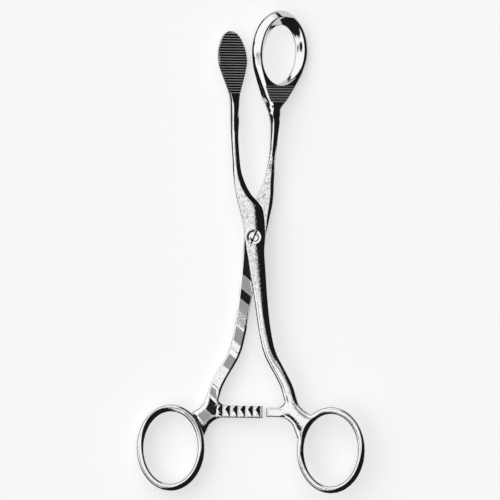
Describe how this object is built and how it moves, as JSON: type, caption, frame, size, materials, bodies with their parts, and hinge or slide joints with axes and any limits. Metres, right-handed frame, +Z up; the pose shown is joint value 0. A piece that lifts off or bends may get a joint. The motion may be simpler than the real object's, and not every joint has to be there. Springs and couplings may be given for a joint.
{
  "type": "tongue forceps",
  "caption": "Steel tongue forceps with a window ring jaw and a serrated oval plate jaw, crossing on a slotted pivot screw, with finger rings and a ratchet.",
  "frame": {"origin": "under the middle of the outline in the drawn pose, on the surface the forceps lies on", "axes": "+X across to the handle of the plate half, +Y along towards the jaws, +Z up along the pivot, towards the screw head"},
  "size_m": [0.0804, 0.1699, 0.0123],
  "materials": {
    "plate_half_steel": "polished stainless steel, hand finished",
    "ring_half_steel": "polished stainless steel, hand finished",
    "screw_steel": "turned stainless steel"
  },
  "bodies": {
    "ring_half": {"ring_jaw_half": "ring_half_steel", "pivot_screw": "screw_steel"},
    "plate_half": {"plate_jaw_half": "plate_half_steel"}
  },
  "joints": [
    {"name": "jaw_pivot", "type": "hinge", "parent": "ring_half", "child": "plate_half", "pos_m": [0.00106, 0.0051, 0.00523], "axis": [0, 0, 1], "range_deg": [-14.2, 30]}
  ]
}
